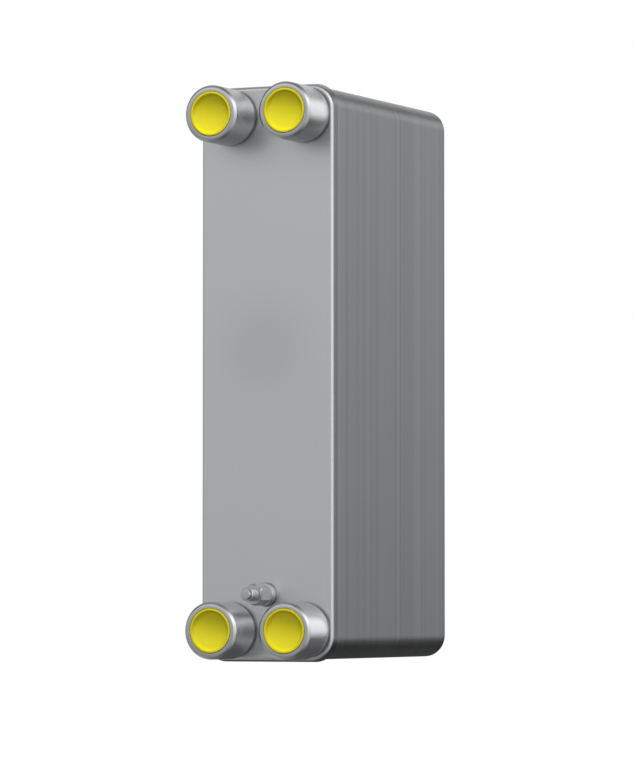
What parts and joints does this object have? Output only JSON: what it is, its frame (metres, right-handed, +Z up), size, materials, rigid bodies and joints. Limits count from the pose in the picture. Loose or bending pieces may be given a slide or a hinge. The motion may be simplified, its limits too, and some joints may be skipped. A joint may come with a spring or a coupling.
{
  "type": "plate heat exchanger",
  "caption": "Brazed plate heat exchanger: a tall stack of nested steel plates between two covers, with threaded port nozzles, push-in transport plugs and a small service valve.",
  "frame": {"origin": "bottom of the front cover's rim, at the middle of the overall width and the overall depth", "axes": "+Z up the long side of the plates, -Y out of the port nozzles, +X to the right seen from the front"},
  "size_m": [0.1244, 0.2724, 0.482],
  "materials": {
    "cover_steel": "satin rolled stainless sheet with an even furnace-dull sheen",
    "plate_steel": "thin pressed stainless sheet, satin, with brazed edges",
    "nozzle_steel": "turned stainless bar with fine turning marks and a cut thread",
    "plug_plastic": "moulded soft polyethylene, slightly waxy",
    "core_brass": "turned brass",
    "spring_steel": "drawn spring wire",
    "seal_plastic": "white fluoropolymer washer"
  },
  "bodies": {
    "stack": {"front_cover_plate": "cover_steel", "front_seal_plate": "plate_steel", "channel_plates_01": "plate_steel", "channel_plates_02": "plate_steel", "channel_plates_03": "plate_steel", "channel_plates_04": "plate_steel", "channel_plates_05": "plate_steel", "channel_plates_06": "plate_steel", "channel_plates_07": "plate_steel", "channel_plates_08": "plate_steel", "channel_plates_09": "plate_steel", "channel_plates_10": "plate_steel", "channel_plates_11": "plate_steel", "channel_plates_12": "plate_steel", "channel_plates_13": "plate_steel", "channel_plates_14": "plate_steel", "channel_plates_15": "plate_steel", "channel_plates_16": "plate_steel", "channel_plates_17": "plate_steel", "channel_plates_18": "plate_steel", "channel_plates_19": "plate_steel", "channel_plates_20": "plate_steel", "channel_plates_21": "plate_steel", "channel_plates_22": "plate_steel", "channel_plates_23": "plate_steel", "channel_plates_24": "plate_steel", "rear_seal_plate": "plate_steel", "back_cover_plate": "cover_steel", "port_nozzle_top_left": "nozzle_steel", "port_nozzle_top_right": "nozzle_steel", "port_nozzle_bottom_left": "nozzle_steel", "port_nozzle_bottom_right": "nozzle_steel", "service_boss": "nozzle_steel", "service_valve_body": "nozzle_steel", "valve_core_sleeve": "core_brass", "valve_core_seal": "seal_plastic", "valve_core_spring": "spring_steel"},
    "plug_top_left": {"transport_plug_top_left": "plug_plastic"},
    "plug_top_right": {"transport_plug_top_right": "plug_plastic"},
    "plug_bottom_left": {"transport_plug_bottom_left": "plug_plastic"},
    "plug_bottom_right": {"transport_plug_bottom_right": "plug_plastic"},
    "valve_plug": {"valve_closing_plug": "nozzle_steel"},
    "valve_pin": {"valve_core_pin": "core_brass"}
  },
  "joints": [
    {"name": "plug_pull_top_left", "type": "slide", "parent": "stack", "child": "plug_top_left", "axis": [0, -1, 0], "range_m": [0, 0.05]},
    {"name": "plug_pull_top_right", "type": "slide", "parent": "stack", "child": "plug_top_right", "axis": [0, -1, 0], "range_m": [0, 0.05]},
    {"name": "plug_pull_bottom_left", "type": "slide", "parent": "stack", "child": "plug_bottom_left", "axis": [0, -1, 0], "range_m": [0, 0.05]},
    {"name": "plug_pull_bottom_right", "type": "slide", "parent": "stack", "child": "plug_bottom_right", "axis": [0, -1, 0], "range_m": [0, 0.05]},
    {"name": "valve_plug_pull", "type": "slide", "parent": "stack", "child": "valve_plug", "axis": [0, -1, 0], "range_m": [0, 0.012]},
    {"name": "valve_pin_press", "type": "slide", "parent": "stack", "child": "valve_pin", "axis": [0, 1, 0], "range_m": [0, 0.0012], "stiffness_N_per_m": 2000, "springref_m": -0.001, "deforming": ["valve_core_spring"]}
  ]
}
